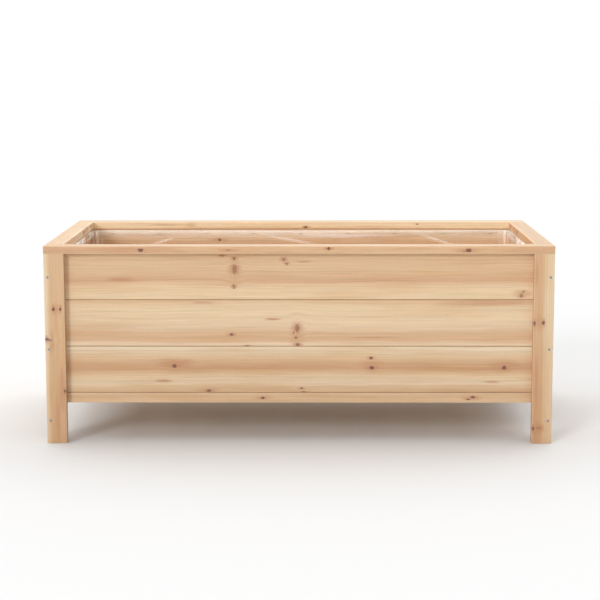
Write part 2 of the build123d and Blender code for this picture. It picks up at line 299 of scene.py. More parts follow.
off = vector(knot_tree, "SUBTRACT", given["Place"], given["Middle"])
ragged = maths(knot_tree, "SUBTRACT", lumps(knot_tree, given["Place"], (6, 3, 6), 3.0), 0.5)
core = smooth_step(knot_tree, knot_sizes((1, 1, 1), 0.7), 1.12, 0.72)
halo = smooth_step(knot_tree, knot_sizes((3.8, 1.7, 1.4), 1.1), 1.05, 0.15)
flow_near = knot_sizes((3.2, 2.3, 2.0), 0.0)
squared = maths(knot_tree, "POWER", flow_near, 2.0)
fades = maths(knot_tree, "EXPONENT", maths(knot_tree, "MULTIPLY", squared, -1.0))
push = maths(knot_tree, "MULTIPLY", maths(knot_tree, "MULTIPLY", split(knot_tree, off)["Y"], -0.8), fades)
wire(knot_tree, maths(knot_tree, "ADD", given["Flow"], push), gives["Flow"])
rings = maths(knot_tree, "SINE", maths(knot_tree, "MULTIPLY", knot_sizes((1, 1, 1), 0.9), 17.0))
darkness = maths(knot_tree, "MULTIPLY", given["Dark"], around(knot_tree, rings, 0.06, 0.94))
core = maths(knot_tree, "MULTIPLY", core, darkness)
wire(knot_tree, maths(knot_tree, "MAXIMUM", given["Core"], core), gives["Core"])
halo = maths(knot_tree, "MULTIPLY", halo, 0.75)
wire(knot_tree, maths(knot_tree, "MAXIMUM", given["Halo"], halo), gives["Halo"])
print("knot group:", len(knot_tree.nodes), "nodes")

# %% [markdown]
# ## A stain
#
# Resin also runs where there is no knot: thin reddish dashes, and broad faint clouds near a heart. A stain is
# a long soft patch that the fibres break up, so its ends fray along the grain. It could be one more kind of
# knot, but it has no core and bends no fibres, so a smaller group does.

# %% Stain group
stain_tree, given, gives = shader_group(
    "stain",
    sockets(VECTOR, "Place", "Middle", "Size") | sockets(FLOAT, "Strength", "Halo"),
    sockets(FLOAT, "Halo"),
)
off = vector(stain_tree, "SUBTRACT", given["Place"], given["Middle"])
away = vector(stain_tree, "LENGTH", vector(stain_tree, "DIVIDE", off, given["Size"]))
frayed = maths(stain_tree, "SUBTRACT", lumps(stain_tree, given["Place"], (60, 2.2, 2.2), 3.0, 0.6), 0.5)
patch = smooth_step(stain_tree, maths(stain_tree, "MULTIPLY_ADD", frayed, 1.6, away), 1.1, 0.2)
patch = maths(stain_tree, "MULTIPLY", patch, given["Strength"])
wire(stain_tree, maths(stain_tree, "MAXIMUM", given["Halo"], patch), gives["Halo"])
print("stain group:", len(stain_tree.nodes), "nodes")

# %% [markdown]
# ## The grain
#
# A board is a slice of a trunk, so its grain is worked out as rings round a pith that lies outside the
# board, and not painted on its faces. The same rings then give straight lines on the face, a slow wave where
# the trunk swayed, arches where it tapered, and arcs on the end grain. Each year's ring fades in and ends in
# a line of harder late wood. Over it lie fibres, stretched fifty times along the board, and longer streaks.

# %% Grain group
grain_tree, given, gives = shader_group(
    "grain",
    sockets(VECTOR, "Place", "Seed", "Pith") | sockets(FLOAT, "Flow", "Ring", "Taper", "Sway"),
    sockets(FLOAT, "Across", "Late", "Fibre", "Streak", "Fleck", "Cloud"),
)
elsewhere = vector(grain_tree, "ADD", given["Place"], given["Seed"])
sway = maths(grain_tree, "SUBTRACT", lumps(grain_tree, elsewhere, (360, 90, 90), 2.0), 0.5)
ripple = maths(grain_tree, "SUBTRACT", lumps(grain_tree, elsewhere, (80, 12, 12), 2.0), 0.5)
wander = maths(grain_tree, "MULTIPLY", sway, given["Sway"])
wander = maths(grain_tree, "MULTIPLY_ADD", ripple, 3.0, wander)
sideways = join(grain_tree, 0.0, maths(grain_tree, "ADD", wander, given["Flow"]), 0.0)
bent = vector(grain_tree, "ADD", given["Place"], sideways)
from_pith = vector(grain_tree, "MULTIPLY", vector(grain_tree, "SUBTRACT", bent, given["Pith"]), (0, 1, 1))
along = split(grain_tree, given["Place"])["X"]
radius = maths(grain_tree, "MULTIPLY_ADD", along, given["Taper"], vector(grain_tree, "LENGTH", from_pith))
years = maths(grain_tree, "DIVIDE", radius, given["Ring"])
good_years = grain_tree.nodes.new("ShaderNodeTexNoise")
good_years.noise_dimensions = "1D"
grain_tree.links.new(maths(grain_tree, "MULTIPLY", years, 0.45), good_years.inputs["W"])
season = maths(grain_tree, "FRACT", maths(grain_tree, "MULTIPLY_ADD", good_years.outputs["Fac"], 1.8, years))
darkens, ends = smooth_step(grain_tree, season, 0.38, 0.92), smooth_step(grain_tree, season, 1.0, 0.95)
late = maths(grain_tree, "MULTIPLY", darkens, ends)
patchy = smooth_step(grain_tree, lumps(grain_tree, elsewhere, (140, 9, 9), 2.0), 0.3, 0.7, 0.25, 1.0)
streak_place = vector(grain_tree, "ADD", bent, given["Seed"])
wire(grain_tree, split(grain_tree, bent)["Y"], gives["Across"])
wire(grain_tree, maths(grain_tree, "MULTIPLY", late, patchy), gives["Late"])
wire(grain_tree, lumps(grain_tree, elsewhere, (42, 0.8, 0.8), 3.0, 0.6), gives["Fibre"])
wire(grain_tree, lumps(grain_tree, streak_place, (260, 4, 4), 5.0, 0.7), gives["Streak"])
dashes = lumps(grain_tree, elsewhere, (9, 0.55, 0.8), 1.0)
wire(grain_tree, smooth_step(grain_tree, dashes, 0.66, 0.76), gives["Fleck"])
wire(grain_tree, lumps(grain_tree, elsewhere, (210, 26, 26), 2.0), gives["Cloud"])
print("grain group:", len(grain_tree.nodes), "nodes")

# %% [markdown]
# ## The planed surface
#
# The last group turns those masks into what the shader needs. Late wood and flecks are a little darker and
# redder, knots are nearly purple with a browner heart, sawn ends are darker because the open tubes drink the
# light, and the eased edges are paler: a little rubbing, and a painted highlight on the arrises. The height
# is tiny: fibres a few hundredths of a millimetre deep, with the hard late wood and the knots standing proud
# of them. Real displacement would cost many more faces for a relief that only the highlights show.

# %% Surface group
KNOT_HEART, KNOT_RIM, RESIN = colour("#7C4F41"), colour("#54302F"), colour("#B97D5A")
FLECK, RUBBED_AND_ARRIS_HIGHLIGHT = colour("#A8744E"), colour("#F3DDBB")
LATE_TINT, CLOUD_TINT, END_TINT = (0.80, 0.70, 0.60, 1), (0.95, 0.90, 0.84, 1), (0.74, 0.67, 0.58, 1)
GRAIN_MASKS = ("Late", "Fibre", "Streak", "Fleck", "Cloud")
surface_tree, given, gives = shader_group(
    "planed_surface",
    sockets(COLOUR, "Colour") | sockets(FLOAT, *GRAIN_MASKS, "Core", "Halo", "End", "Edge", "Contrast"),
    sockets(COLOUR, "Colour") | sockets(FLOAT, "Roughness", "Height"),
)
clouded = smooth_step(surface_tree, given["Cloud"], 0.42, 0.72)
shade = mingle(surface_tree, clouded, given["Colour"], CLOUD_TINT, "MULTIPLY")
late_share = maths(surface_tree, "MULTIPLY", given["Late"], given["Contrast"])
shade = mingle(surface_tree, late_share, shade, LATE_TINT, "MULTIPLY")
fine, broad = around(surface_tree, given["Fibre"], 0.10), around(surface_tree, given["Streak"], 0.24)
lively = maths(surface_tree, "MULTIPLY", fine, broad)
shade = vector(surface_tree, "SCALE", shade)
wire(surface_tree, lively, shade.node.inputs["Scale"])
shade = mingle(surface_tree, maths(surface_tree, "MULTIPLY", given["Fleck"], 0.30), shade, FLECK)
shade = mingle(surface_tree, given["Halo"], shade, RESIN)
fibres = maths(surface_tree, "SUBTRACT", given["Fibre"], 0.5)
mottled = maths(surface_tree, "MULTIPLY_ADD", fibres, 0.9, given["Core"])
knot_shade = mingle(surface_tree, smooth_step(surface_tree, mottled, 0.6, 1.05), KNOT_RIM, KNOT_HEART)
shade = mingle(surface_tree, given["Core"], shade, knot_shade)
shade = mingle(surface_tree, given["End"], shade, END_TINT, "MULTIPLY")
# Paler eased edges: partly rubbing, partly a painted highlight on the arrises.
rubbed_and_highlit = maths(surface_tree, "MULTIPLY", given["Edge"], around(surface_tree, given["Fibre"], 0.5, 0.3))
shade = mingle(surface_tree, rubbed_and_highlit, shade, RUBBED_AND_ARRIS_HIGHLIGHT)
wire(surface_tree, shade, gives["Colour"])
rough = maths(surface_tree, "MULTIPLY_ADD", given["Fibre"], 0.16, 0.40)
rough = maths(surface_tree, "MULTIPLY_ADD", given["Core"], -0.12, rough)
wire(surface_tree, maths(surface_tree, "MULTIPLY_ADD", given["End"], 0.25, rough), gives["Roughness"])
relief = maths(surface_tree, "MULTIPLY_ADD", given["Late"], 0.4, given["Fibre"])
relief = maths(surface_tree, "MULTIPLY_ADD", given["Streak"], 0.5, relief)
wire(surface_tree, maths(surface_tree, "MULTIPLY_ADD", given["Core"], 0.6, relief), gives["Height"])
print("surface group:", len(surface_tree.nodes), "nodes")

# %% [markdown]
# ## One timber for each board
#
# Every board gets its own material, because no two boards are alike: its bands of cream sapwood and pinkish
# heartwood are stops on a colour ramp across its width, its knots and stains are placed one by one, and a
# seed moves the noise somewhere else. The board's own millimetres, along, across and through, come from its
# corner in the frame, so nothing has to be lined up by eye.

# %% Bands of colour across a board
def bands_ramp(tree, across, width, bands):
    """Colour across the width. Bands are (millimetres, colour) pairs."""
    ramp = tree.nodes.new("ShaderNodeValToRGB")
    elements = ramp.color_ramp.elements
    while len(elements) < len(bands):
        elements.new(1.0)
    for element, (at, code) in zip(elements, bands):
        element.position = min(max(at / width, 0), 1)
        element.color = colour(code)
    tree.links.new(maths(tree, "DIVIDE", across, width), ramp.inputs["Fac"])
    return ramp.outputs["Color"]


def board_size(name, axes):
    """The board's low corner, and its millimetres along, across and through, in the order of those axes."""
    low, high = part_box(name)
    return low, [(high["xyz".index(letter)] - low["xyz".index(letter)]) / MM for letter in axes]


# %% [markdown]
# Knots and stains are triples of place, size and strength, in millimetres along, across and through the
# board. Each group hands its masks to the next one, so the lists can be as long as a board needs.

# %% Knots and stains, one after another
def marked(tree, place, knots, stains):
    """The push on the fibres, the dark core and the reddish halo that all the knots and stains add up to."""
    flow, core, halo = 0.0, 0.0, 0.0
    for middle, size, dark in knots:
        spot = {"Place": place, "Middle": middle, "Size": size}
        out = use_group(tree, knot_tree, **spot, Dark=dark, Flow=flow, Core=core, Halo=halo)
        flow, core, halo = out["Flow"], out["Core"], out["Halo"]
    for middle, size, strength in stains:
        spot = {"Place": place, "Middle": middle, "Size": size}
        halo = use_group(tree, stain_tree, **spot, Strength=strength, Halo=halo)["Halo"]
    return flow, core, halo


# %% [markdown]
# A foot is darker towards the ground, painted shade for the light that falls off near the floor. A tongued
# board has a darker lower edge and a dark tongue, painted shade in the joint between boards. Both are tints
# that multiply the bands, so the bands stay visible.

# %% Painted shade at the feet and in the joints
JOINT_PAINTED_SHADE = (0.44, 0.34, 0.26, 1)


def tinted(tree, shade, along, across, long, foot, seam):
    if foot is not None:
        # Painted shade: darker towards the foot, for the light that falls off near the floor.
        shade = mingle(tree, smooth_step(tree, along, long, -0.25 * long), shade, foot, "MULTIPLY")
    if seam is not None:
        # Painted shade in the joint: the board's lower edge and its tongue.
        shade = mingle(tree, smooth_step(tree, across, 2.9, 1.2), shade, JOINT_PAINTED_SHADE, "MULTIPLY")
        shade = mingle(tree, smooth_step(tree, across, seam, seam + 0.3), shade, JOINT_PAINTED_SHADE, "MULTIPLY")
    return shade


# %% [markdown]
# This is the whole recipe: find the point in the board's own millimetres, lay the knots, run the grain round
# them, colour it, and hand the three results to the shader. The settings that most boards share are the
# defaults, so a recipe below says only what is special about its board.

# %% Timber for a board
BUMP_DEPTH = 0.12 * MM
SEED_SPAN = 900
rng = random.Random(7)


def timber(name, axes, bands, knots=(), stains=(), pith=(160, -60), ring=4.2, taper=0.0, sway=12.0,
           contrast=0.45, sawn=0.0, foot=None, seam=None):
    """Dresses the board of that name. Axes name the frame's axes along, across and through it."""
    low, (long, wide, thick) = board_size(name, axes)
    material = bpy.data.materials.new(f"fir_{name}")
    material.use_nodes = True
    tree = material.node_tree
    at = tree.nodes.new("ShaderNodeTexCoord").outputs["Object"]
    inside = vector(tree, "SCALE", vector(tree, "SUBTRACT", at, tuple(low)))
    inside.node.inputs["Scale"].default_value = 1 / MM
    sides = split(tree, inside)
    along, across, through = (sides["xyz".index(letter)] for letter in axes)
    place = join(tree, along, across, through)
    flow, core, halo = marked(tree, place, knots, stains)
    grain = use_group(
        tree,
        grain_tree,
        Place=place,
        Flow=flow,
        Seed=tuple(rng.uniform(-SEED_SPAN, SEED_SPAN) for _ in range(3)),
        Pith=(0, pith[0], pith[1]),
        Ring=ring,
        Taper=taper,
        Sway=sway,
    )
    shade = tinted(tree, bands_ramp(tree, grain["Across"], wide, bands), along, across, long, foot, seam)
    from_end = maths(tree, "MINIMUM", along, maths(tree, "SUBTRACT", long, along))
    from_side = maths(tree, "MINIMUM", across, maths(tree, "SUBTRACT", wide, across))
    from_face = maths(tree, "MINIMUM", through, maths(tree, "SUBTRACT", thick, through))
    surface = use_group(
        tree,
        surface_tree,
        Colour=shade,
        Core=core,
        Halo=halo,
        End=smooth_step(tree, from_end, 0.6, 0.1),
        Edge=smooth_step(tree, maths(tree, "ADD", from_side, from_face), 2.4, 0.4),
        Contrast=contrast,
        **{label: grain[label] for label in GRAIN_MASKS},
    )
    relief = surface["Height"]
    if sawn:
        sweep = maths(tree, "MULTIPLY_ADD", across, 0.25, maths(tree, "MULTIPLY", along, 1.9))
        blade = maths(tree, "SINE", sweep)
        relief = maths(tree, "MULTIPLY_ADD", blade, sawn, relief)
    shader = tree.nodes["Principled BSDF"]
    tree.links.new(surface["Colour"], shader.inputs["Base Color"])
    tree.links.new(surface["Roughness"], shader.inputs["Roughness"])
    bump = tree.nodes.new("ShaderNodeBump")
    bump.inputs["Strength"].default_value = 0.6
    bump.inputs["Distance"].default_value = BUMP_DEPTH
    tree.links.new(relief, bump.inputs["Height"])
    tree.links.new(bump.outputs["Normal"], shader.inputs["Normal"])
    for board_slot in nodes[name].material_slots:
        board_slot.material = material
    print(f"{name}: {len(knots)} knots, {len(stains)} stains, {len(tree.nodes)} nodes")


# %% [markdown]
# A knot on a wide face goes right through the board, as a branch does, so it shows on the back too. A stain
# fades out within the thickness, unless it is told to reach further. These two say so once, and the recipes
# below give only where and how big.

# %% Knots and stains on a wide face
THROUGH = 40


def face_knot(along, across, half_long=4.5, half_wide=4.5, dark=0.95, at=9, reach=THROUGH):
    return (along, across, at), (half_long, half_wide, reach), dark


def face_stain(along, across, half_long, half_wide, strength=0.5, at=0, reach=12):
    return (along, across, at), (half_long, half_wide, reach), strength


# %% [markdown]
# ## The front panel
#
# Three tongued boards. The top one is tan with a pinkish line and a cream lower third, a chain of small
# reddish knots where a whorl of twigs crossed it, and a few stray ones. Bands are measured up from a board's
# lower edge, and knots from there and from its left end. Noise could scatter the knots, but it never makes
# a whorl, so they are placed one by one.

# %% Front, top board
CREAM, STRAW, TAN, PINK, BROWN, HEART = "#E5C9A4", "#E0BF99", "#DBB68F", "#D6AD84", "#D3A67C", "#CC9F76"
COVER = 110

timber(
    "front_board_top",
    "xzy",
    [(0, CREAM), (30, CREAM), (36, STRAW), (41, "#DCB791"), (45, "#D2A683"), (51, "#D5AE88"), (64, "#DAB78F"),
     (80, "#DEBD97"), (99, "#DCBA93"), (112, "#DDBC95")],
    knots=[
        face_knot(422, 97, 3.5, 4.5, 0.55),
        face_knot(423, 72, 5.4, 13, 0.44),
        face_knot(421, 32, 2.6, 5.5, 0.45),
        face_knot(394, 104, 4, 2.8, 0.4),
        face_knot(537, 95, 3.5, 5.0, 0.36),
        face_knot(544, 85, 3, 3.5, 0.4),
        face_knot(1088, 10, 4.5, 5.5, 0.42),
        face_knot(1093, 19, 3.0, 4.0, 0.3),
    ],
    stains=[
        face_stain(156, 48, 42, 7, 0.55),
        face_stain(584, 90, 26, 3, 0.6),
        face_stain(1090, 15, 30, 13, 0.45),
        face_stain(422, 70, 20, 30, 0.30),
    ],
    ring=5.0,
    sway=13,
    seam=COVER,
)

# %% [markdown]
# The middle board is nearly all sapwood. Its brown band lies low, with a whorl of knots across it, and its
# upper right corner turns tan where the saw came nearer to the heart.

# %% Front, middle board
timber(
    "front_board_middle",
    "xzy",
    [(0, "#E8D2B1"), (8, "#E2C6A5"), (13, "#D9B592"), (20, "#D4AD86"), (34, "#D8B490"), (40, "#DBBC98"),
     (46, "#E0C4A2"), (60, "#E4C9A6"), (94, "#E3C8A4"), (104, "#DEBD98"), (112, "#DBB891")],
    knots=[
        face_knot(415, 28.5, 4.2, 3.6, 0.85),
        face_knot(568, 43, 5.2, 12, 0.52),
        face_knot(565, 21, 3.0, 3.6, 0.6),
        face_knot(569, 4.4, 5.0, 4.4, 0.65),
        face_knot(451, 1.6, 7.0, 1.8, 0.8),
        face_knot(560, 33, 1.6, 4.0, 0.4),
    ],
    stains=[
        face_stain(510, 65, 24, 3.5, 0.75),
        face_stain(350, 104, 34, 4, 0.5),
        face_stain(738, 22, 75, 2.5, 0.5),
        face_stain(1020, 104, 150, 12, 0.5),
        face_stain(568, 30, 24, 30, 0.35),
        face_stain(120, 49, 150, 6, 0.22),
    ],
    pith=(180, -50),
    sway=16,
    contrast=0.35,
    seam=COVER,
)

# %% [markdown]
# The lowest board was cut close to the heart. A red-brown band runs along its middle with the knots on it,
# between two cream edges.

# %% Front, bottom board
timber(
    "front_board_bottom",
    "xzy",
    [(0, "#D0AB85"), (10, "#D3B18C"), (16, "#DABB97"), (26, "#DEC6A6"), (40, "#DDC09B"), (49, "#D2AE87"),
     (58, "#C99D76"), (70, "#CDA57D"), (79, "#D4B08A"), (86, "#DCBC96"), (92, "#DCC19C"), (104, "#E3CDAE")],
    knots=[
        face_knot(281, 64, 5.6, 5.0),
        face_knot(740, 83, 4.2, 3.6),
        face_knot(742, 60, 5.6, 4.6),
        face_knot(1051, 60, 5.4, 4.8),
        face_knot(361, 5, 6.5, 3.8, 0.7),
        face_knot(578, 11, 3.4, 2.2),
        face_knot(583, 2.0, 5.4, 2.0),
    ],
    stains=[
        face_stain(254, 29, 27, 4.5, 0.75),
        face_stain(1025, 26.5, 28, 3.5, 0.75),
        face_stain(281, 70, 55, 16, 0.55),
        face_stain(742, 70, 34, 20, 0.30),
        face_stain(1051, 66, 50, 18, 0.40),
        face_stain(360, 8, 40, 6, 0.35),
    ],
    pith=(64, -85),
    ring=5.5,
    sway=15,
    seam=COVER,
)

# %% [markdown]
# ## The rim
#
# The rim boards lie flat, so their wide faces look up and the front sees only an edge. Their knots are on
# their edges, and end inside the board. The edges that face into the box differ in tone: on the back and left
# rims they are paler, painted light for inner faces that the lamp lights too little. Each edge could have its
# own material, but a narrow band at the end of the ramp is enough.

# %% Long rim boards
def edge_knot(along, up, half_long=5.4, half_high=4.4, dark=0.95, across=0, reach=14):
    return (along, across, up), (half_long, reach, half_high), dark


def edge_stain(along, up, half_long, half_high, strength=0.5, across=0, reach=16):
    return (along, across, up), (half_long, reach, half_high), strength


timber(
    "rim_front",
    "xyz",
    [(0, "#DCB790"), (4, "#DAB590"), (12, "#D6B591"), (24, "#D7B894"), (34, "#D7B793"), (42, "#D3B08B")],
    knots=[
        edge_knot(225, 8.4, 6.0, 4.6),
        edge_knot(427, 8.4, 4.6, 2.0, 0.4),
        edge_knot(659, 12, 4.4, 4.2),
        edge_knot(981, 8, 6.6, 4.6),
        edge_knot(974, 5, 8.0, 1.6, 0.35),
    ],
    stains=[
        edge_stain(215, 9, 190, 14, 0.42),
        edge_stain(427, 8, 34, 6, 0.45),
        edge_stain(981, 8, 40, 7, 0.55),
        edge_stain(540, 3, 90, 4, 0.30),
        edge_stain(860, 12, 70, 5, 0.25),
        edge_stain(40, 8, 130, 20, 0.34),
        edge_stain(1150, 8, 120, 20, 0.30),
    ],
    pith=(-60, 70),
    ring=3.8,
    sway=9,
    contrast=0.35,
)
timber(
    "rim_back",
    "xyz",
    # The first bands, on the inner edge, are pale: painted light.
    [(0, "#FFE6C0"), (4, "#F3D3AA"), (9, "#D6B48E"), (24, "#CDAF8C"), (42, "#CAA884")],
    knots=[
        edge_knot(603, 4, 4.6, 3.8),
        edge_knot(897, 12, 2.4, 2.0, 0.5),
        edge_knot(300, 9, 5, 4, across=42),
    ],
    stains=[
        edge_stain(240, 10, 60, 4, 0.35),
        edge_stain(760, 6, 90, 3, 0.3),
        edge_stain(600, 1, 500, 5, 0.3),
    ],
    pith=(-50, -70),
    ring=4.4,
    sway=9,
    contrast=0.4,
)

# %% [markdown]
# The short rim boards butt against the long ones. Both have knots on the edge that faces into the box, so one
# loop lays them, and only the side where that edge lies and the bands differ.

# %% Short rim boards
# The left rim's last bands, on its inner edge, are pale: painted light on a face turned away from the lamp.
RIM_ENDS = {
    "rim_left": (42, [
        (0, "#D8B28B"), (10, "#D8B790"), (24, "#DABB96"), (34, "#DBB993"), (40, "#E8CBA6"), (42, "#F2DBBC"),
    ]),
    "rim_right": (0, [
        (0, "#E3B98C"), (4, "#D9B28A"), (12, "#CDAD8A"), (24, "#CFB18E"), (34, "#CEAE8A"), (42, "#D0AA84"),
    ]),
}
for name, (inner, bands) in RIM_ENDS.items():
    timber(
        name,
        "yxz",
        bands,
        knots=[
            edge_knot(340, 9, 6.0, 8.0, 0.7, across=inner, reach=6),
            edge_knot(480, 11, 7.0, 5.0, 0.45, across=inner),
        ],
        stains=[edge_stain(390, 9, 60, 14, 0.35, across=inner)],
        pith=(90, -50),
        ring=4.0,
        sway=8,
        contrast=0.45,
    )

# %% [markdown]
# ## The legs
#
# Each leg is an L of two narrow boards. They stand with the grain upright, so "along" is up. The front two
# have a cream strip of sapwood on their outer side, and small knots beside it. All the feet are a shade
# darker than the tops, painted shade for the light that falls off towards the floor, and the recipe
# multiplies that in.

# %% Leg boards
# Painted shade for the feet.
FEET_PAINTED_SHADE = (0.84, 0.75, 0.68, 1)

timber(
    "leg_front_left_face",
    "zxy",
    [(0, "#E6D0B0"), (8, "#E3CBAA"), (13, "#DAB890"), (24, "#D5AF86"), (38, "#DBB892"), (47, "#D6B088")],
    knots=[
        face_knot(318, 21, 4.6, 4.0),
        face_knot(318, 37, 4.2, 3.6),
        face_knot(247, 3, 3.6, 8, 0.8),
        face_knot(245, 12, 2.2, 7, 0.45),
        face_knot(124, 44, 4.2, 3.2),
    ],
    stains=[
        face_stain(318, 28, 18, 14, 0.40),
        face_stain(240, 15, 36, 9, 0.5),
        face_stain(130, 38, 70, 8, 0.5),
        face_stain(60, 26, 70, 6, 0.35),
    ],
    pith=(90, -30),
    ring=3.4,
    sway=7,
    foot=FEET_PAINTED_SHADE,
)
timber(
    "leg_front_right_face",
    "zxy",
    [(0, "#D5AF88"), (12, "#D7B18B"), (21, "#D8B28A"), (26, "#E1C5A2"), (40, "#E3C9A6"), (47, "#E4CCAA")],
    knots=[
        face_knot(285, 2.4, 4.6, 3.2),
        face_knot(286, 22.6, 4.6, 4.0),
        face_knot(36, 3.6, 4.6, 3.6),
        face_knot(37, 17, 3.4, 7, 0.22),
    ],
    stains=[
        face_stain(286, 14, 22, 14, 0.35),
        face_stain(36, 14, 24, 10, 0.5),
        face_stain(150, 9, 100, 6, 0.35),
        face_stain(400, 6, 40, 6, 0.4),
    ],
    pith=(-45, -30),
    ring=3.4,
    sway=7,
    foot=FEET_PAINTED_SHADE,
)

# %% [markdown]
# ## The boards that match
#
# The other boards are at the back, inside or underneath, or are seen only from the sides. They come from the
# same pile, so each takes one of three patterns of bands at random, a few knots, and a stain over each knot.
# The random numbers start from a fixed seed, so a board looks the same every time.

# %% Boards from the pile
PILE = {
    "sapwood": ([0.0, 0.12, 0.3, 0.55, 0.8, 1.0], [CREAM, STRAW, CREAM, CREAM, STRAW, TAN]),
    "heartwood": ([0.0, 0.2, 0.4, 0.5, 0.62, 0.85], [CREAM, STRAW, BROWN, HEART, TAN, CREAM]),
    "mixed": ([0.0, 0.25, 0.34, 0.42, 0.6, 1.0], [CREAM, CREAM, PINK, BROWN, TAN, STRAW]),
}


def from_the_pile(name, axes, knot_count, **settings):
    _, (long, wide, thick) = board_size(name, axes)
    places, codes = PILE[rng.choice(sorted(PILE))]
    if rng.random() < 0.5:
        places, codes = [1 - at for at in reversed(places)], codes[::-1]
    knots, stains = [], []
    for _ in range(knot_count):
        along, across = rng.uniform(0.06, 0.94) * long, rng.uniform(0.12, 0.88) * wide
        size = rng.uniform(2.4, 5.6) * min(1.0, wide / 60 + 0.35)
        knots.append(face_knot(along, across, size, size * rng.uniform(0.7, 1.3), at=thick / 2))
        strength = rng.uniform(0.3, 0.55)
        stains.append(face_stain(along, across, size * 8, size * 2.4, strength, at=thick / 2, reach=THROUGH))
    outside = rng.choice((-1, 1))
    pith = (wide / 2 + outside * wide * rng.uniform(0.3, 1.3), -rng.uniform(25, 80))
    bands = [(at * wide, code) for at, code in zip(places, codes)]
    timber(name, axes, bands, knots, stains, pith=pith, ring=rng.uniform(3.4, 5.4), **settings)


# %% [markdown]
# Now the pile is dealt out: the boards of the other three sides, the legs, the rails and the slats. The order
# of these loops matters, because each board takes the next random numbers. The slats are left as the saw
# cut them, with its blade marks across.

# %% Deal the pile
SIDES = {"back": "xzy", "left": "yzx", "right": "yzx"}
for side, axes in SIDES.items():
    for row in ("bottom", "middle", "top"):
        if (side, row) != ("back", "top"):
            knot_count, taper = 5 if side == "back" else 3, rng.choice((0, 0.01))
            from_the_pile(f"{side}_board_{row}", axes, knot_count, taper=taper, sway=15, seam=COVER)
for corner in ("front_left", "front_right", "back_left", "back_right"):
    from_the_pile(f"leg_{corner}_return", "zyx", 2, sway=7, foot=FEET_PAINTED_SHADE)
    if corner.startswith("back"):
        from_the_pile(f"leg_{corner}_face", "zxy", 2, sway=7, foot=FEET_PAINTED_SHADE)
for side, axes in SIDES.items():
    from_the_pile(f"bottom_rail_{side}", axes, 2, sway=6)
slats = sorted(name for name in nodes if name.startswith("floor_slat"))
for name in slats:
    from_the_pile(name, "yxz", 2, sway=10, contrast=0.7, sawn=0.8)
print(len(slats), "slats, and the rest of the pile")

# %% [markdown]
# Two more boards show in the main view, so they are placed one by one: the front rail, and the top board at
# the back, whose inner face is seen through the film.

# %% Front rail and the top board at the back
timber(
    "bottom_rail_front",
    "xzy",
    [(0, "#D3AF88"), (8, "#D8B590"), (16, "#D4B08A"), (23, "#D9B893")],
    knots=[face_knot(487, 11, 5.0, 3.6), face_knot(979, 13, 5.6, 3.0), face_knot(968, 8, 4.4, 2.0)],
    stains=[
        face_stain(487, 11, 30, 6, 0.4),
        face_stain(975, 11, 34, 8, 0.5),
        face_stain(60, 12, 160, 9, 0.12),
    ],
    pith=(60, -30),
    ring=4.0,
    sway=6,
    contrast=0.35,
)
timber(
    "back_board_top",
    "xzy",
    # Its pale upper bands are partly the wood's tone and partly painted light on the inner wall under the
    # rim.
    [(0, TAN), (50, BROWN), (66, "#D9AE86"), (76, "#E0BC96"), (88, "#EACDAA"), (104, "#F0D8B8"),
     (112, "#EBCFAB")],
    knots=[face_knot(357, 80, 4.0, 3.6), face_knot(840, 46, 5, 5), face_knot(120, 30, 4, 6)],
    stains=[
        face_stain(357, 80, 34, 8, 0.4),
        face_stain(760, 90, 190, 5, 0.35),
        face_stain(180, 92, 90, 6, 0.3),
    ],
    pith=(150, -60),
    sway=14,
    seam=COVER,
)
print(sum(m.name.startswith("fir_") for m in bpy.data.materials), "timbers")

# %% [markdown]
# ## Screws, dowels and staples
#
# The screws are zinc plated steel: cool grey, with a satin shine that small scratches and duller spots
# break up. The staples are galvanised wire, a shade paler and softer. The dowels are beech, a close pale
# wood that is known by its short dark flecks. All are small, so their patterns are counted in tenths of a
# millimetre, and one function makes all three, since only the numbers differ.

# %% Metal and beech
def small_finish(name, metallic, low_code, high_code, stretch, rough_low, rough_high, relief):
    """A material whose colour and roughness follow fine noise, stretched by so many millimetres."""
    material = bpy.data.materials.new(name)
    material.use_nodes = True
    tree = material.node_tree
    shader = tree.nodes["Principled BSDF"]
    at = vector(tree, "SCALE", tree.nodes.new("ShaderNodeTexCoord").outputs["Object"])
    at.node.inputs["Scale"].default_value = 1 / MM
    scratches = lumps(tree, at, stretch, 3.0, 0.6)
    spots = lumps(tree, at, (1.6, 1.6, 1.6), 2.0)
    mask = maths(tree, "MULTIPLY", maths(tree, "ADD", scratches, spots), 0.5)
    tree.links.new(
        mingle(tree, smooth_step(tree, mask, 0.38, 0.62), colour(low_code), colour(high_code)),
        shader.inputs["Base Color"],
    )
    tree.links.new(smooth_step(tree, spots, 0.3, 0.7, rough_low, rough_high), shader.inputs["Roughness"])
    shader.inputs["Metallic"].default_value = metallic
    bump = tree.nodes.new("ShaderNodeBump")
    bump.inputs["Strength"].default_value = 0.4
    bump.inputs["Distance"].default_value = relief * MM
    tree.links.new(scratches, bump.inputs["Height"])
    tree.links.new(bump.outputs["Normal"], shader.inputs["Normal"])
    return material


# %% [markdown]
# A metal keeps its colour in the shine, so both metals are fully metallic, and beech is not at all. Each goes
# on every node whose name has its word.

# %% Put them on
zinc = small_finish("zinc_plate", 1.0, "#8C949E", "#B9C0C9", (0.25, 0.25, 1.4), 0.28, 0.5, 0.03)
galvanised = small_finish("galvanised_wire", 1.0, "#A4A9AD", "#C9CDD0", (0.3, 0.3, 0.3), 0.3, 0.55, 0.03)
beech = small_finish("beech_dowel", 0.0, "#C99F72", "#E0BE93", (0.35, 0.35, 3.0), 0.5, 0.7, 0.05)
finishes = {"screw": zinc, "staple": galvanised, "dowel": beech}
for word, finish in finishes.items():
    named = [node for name, node in nodes.items() if word in name]
    for node in named:
        for part_slot in node.material_slots:
            part_slot.material = finish
    print(finish.name, "on", len(named), "nodes")

